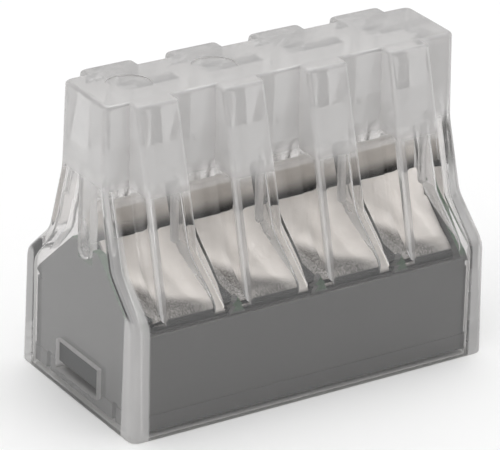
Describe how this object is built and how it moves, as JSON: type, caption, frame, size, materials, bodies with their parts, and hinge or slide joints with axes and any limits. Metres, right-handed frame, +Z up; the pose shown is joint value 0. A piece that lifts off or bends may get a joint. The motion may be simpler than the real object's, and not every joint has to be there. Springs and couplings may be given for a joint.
{
  "type": "push-in wire connector",
  "caption": "Clear push-in junction connector with round wire entries in a grey insert, sprung clamping tongues and a shared busbar.",
  "frame": {"origin": "centre of the base outline, on the plane the connector stands on", "axes": "+X along the rows of entries, +Y from the front row to the rear row, +Z up from the entry face to the closed clear top"},
  "size_m": [0.0224, 0.012, 0.0177],
  "materials": {
    "clear_plastic": "clear polycarbonate, moulded gloss",
    "grey_plastic": "fine moulded satin",
    "tinned_bar": "satin tinned copper",
    "spring_steel": "satin stamped stainless spring steel"
  },
  "bodies": {
    "body": {"housing": "clear_plastic", "wire_entry_insert": "grey_plastic", "busbar": "tinned_bar", "front_spring_strip": "spring_steel", "rear_spring_strip": "spring_steel"},
    "front_tongue_1_body": {"front_tongue_1": "spring_steel"},
    "front_tongue_2_body": {"front_tongue_2": "spring_steel"},
    "front_tongue_3_body": {"front_tongue_3": "spring_steel"},
    "front_tongue_4_body": {"front_tongue_4": "spring_steel"},
    "rear_tongue_1_body": {"rear_tongue_1": "spring_steel"},
    "rear_tongue_2_body": {"rear_tongue_2": "spring_steel"},
    "rear_tongue_3_body": {"rear_tongue_3": "spring_steel"},
    "rear_tongue_4_body": {"rear_tongue_4": "spring_steel"}
  },
  "joints": [
    {"name": "front_tongue_1_hinge", "type": "hinge", "parent": "body", "child": "front_tongue_1_body", "pos_m": [-0.00817, -0.0042, 0.00565], "axis": [1, 0, 0], "range_deg": [0, 22], "stiffness_Nm_per_rad": 0.12},
    {"name": "front_tongue_2_hinge", "type": "hinge", "parent": "body", "child": "front_tongue_2_body", "pos_m": [-0.00298, -0.0042, 0.00565], "axis": [1, 0, 0], "range_deg": [0, 22], "stiffness_Nm_per_rad": 0.12},
    {"name": "front_tongue_3_hinge", "type": "hinge", "parent": "body", "child": "front_tongue_3_body", "pos_m": [0.00222, -0.0042, 0.00565], "axis": [1, 0, 0], "range_deg": [0, 22], "stiffness_Nm_per_rad": 0.12},
    {"name": "front_tongue_4_hinge", "type": "hinge", "parent": "body", "child": "front_tongue_4_body", "pos_m": [0.00743, -0.0042, 0.00565], "axis": [1, 0, 0], "range_deg": [0, 22], "stiffness_Nm_per_rad": 0.12},
    {"name": "rear_tongue_1_hinge", "type": "hinge", "parent": "body", "child": "rear_tongue_1_body", "pos_m": [-0.00817, 0.0042, 0.00565], "axis": [-1, 0, 0], "range_deg": [0, 22], "stiffness_Nm_per_rad": 0.12},
    {"name": "rear_tongue_2_hinge", "type": "hinge", "parent": "body", "child": "rear_tongue_2_body", "pos_m": [-0.00298, 0.0042, 0.00565], "axis": [-1, 0, 0], "range_deg": [0, 22], "stiffness_Nm_per_rad": 0.12},
    {"name": "rear_tongue_3_hinge", "type": "hinge", "parent": "body", "child": "rear_tongue_3_body", "pos_m": [0.00222, 0.0042, 0.00565], "axis": [-1, 0, 0], "range_deg": [0, 22], "stiffness_Nm_per_rad": 0.12},
    {"name": "rear_tongue_4_hinge", "type": "hinge", "parent": "body", "child": "rear_tongue_4_body", "pos_m": [0.00743, 0.0042, 0.00565], "axis": [-1, 0, 0], "range_deg": [0, 22], "stiffness_Nm_per_rad": 0.12}
  ]
}
